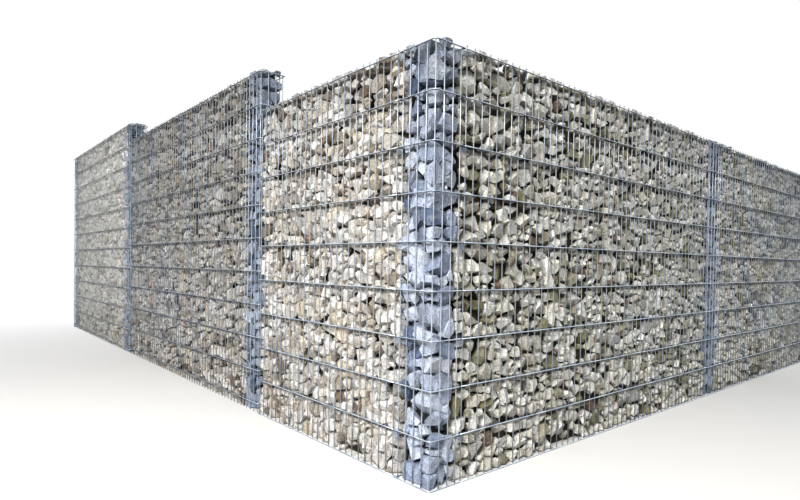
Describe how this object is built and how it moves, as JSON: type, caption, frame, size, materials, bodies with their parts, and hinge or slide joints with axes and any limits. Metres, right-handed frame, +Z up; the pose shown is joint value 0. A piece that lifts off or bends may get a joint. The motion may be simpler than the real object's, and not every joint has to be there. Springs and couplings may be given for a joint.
{
  "type": "gabion fence wall",
  "caption": "L-shaped free-standing wall of broken stone held in welded wire mesh, with cage columns of darker stone at the corner, between its bays and at its ends.",
  "frame": {"origin": "middle of the corner column's foot, on the ground", "axes": "+Z up, +Y along the left leg, +X along the right leg; the outer faces look towards -X and -Y"},
  "size_m": [5.679, 6.935, 2.258],
  "materials": {
    "light_stone": "broken limestone, rough and matt",
    "dark_stone": "broken blue-grey stone, rough and matt",
    "galvanised_wire": "dull hot-dip zinc"
  },
  "bodies": {
    "root": {"rings_column_corner": "galvanised_wire", "rings_column_left_1": "galvanised_wire", "rings_column_left_2": "galvanised_wire", "rings_column_left_3": "galvanised_wire", "rings_column_right_1": "galvanised_wire", "rings_column_right_2": "galvanised_wire", "rows_left_1_back": "galvanised_wire", "rows_left_1_front": "galvanised_wire", "rows_left_2_back": "galvanised_wire", "rows_left_2_front": "galvanised_wire", "rows_left_3_back": "galvanised_wire", "rows_left_3_front": "galvanised_wire", "rows_right_1_back": "galvanised_wire", "rows_right_1_front": "galvanised_wire", "rows_right_2_back": "galvanised_wire", "rows_right_2_front": "galvanised_wire", "stones_column_corner": "dark_stone", "stones_column_left_1": "dark_stone", "stones_column_left_2": "dark_stone", "stones_column_left_3": "dark_stone", "stones_column_right_1": "dark_stone", "stones_column_right_2": "dark_stone", "stones_left_1": "light_stone", "stones_left_2": "light_stone", "stones_left_3": "light_stone", "stones_right_1": "light_stone", "stones_right_2": "light_stone", "uprights_column_corner": "galvanised_wire", "uprights_column_left_1": "galvanised_wire", "uprights_column_left_2": "galvanised_wire", "uprights_column_left_3": "galvanised_wire", "uprights_column_right_1": "galvanised_wire", "uprights_column_right_2": "galvanised_wire", "uprights_left_1_back": "galvanised_wire", "uprights_left_1_front": "galvanised_wire", "uprights_left_2_back": "galvanised_wire", "uprights_left_2_front": "galvanised_wire", "uprights_left_3_back": "galvanised_wire", "uprights_left_3_front": "galvanised_wire", "uprights_right_1_back": "galvanised_wire", "uprights_right_1_front": "galvanised_wire", "uprights_right_2_back": "galvanised_wire", "uprights_right_2_front": "galvanised_wire"}
  },
  "joints": []
}
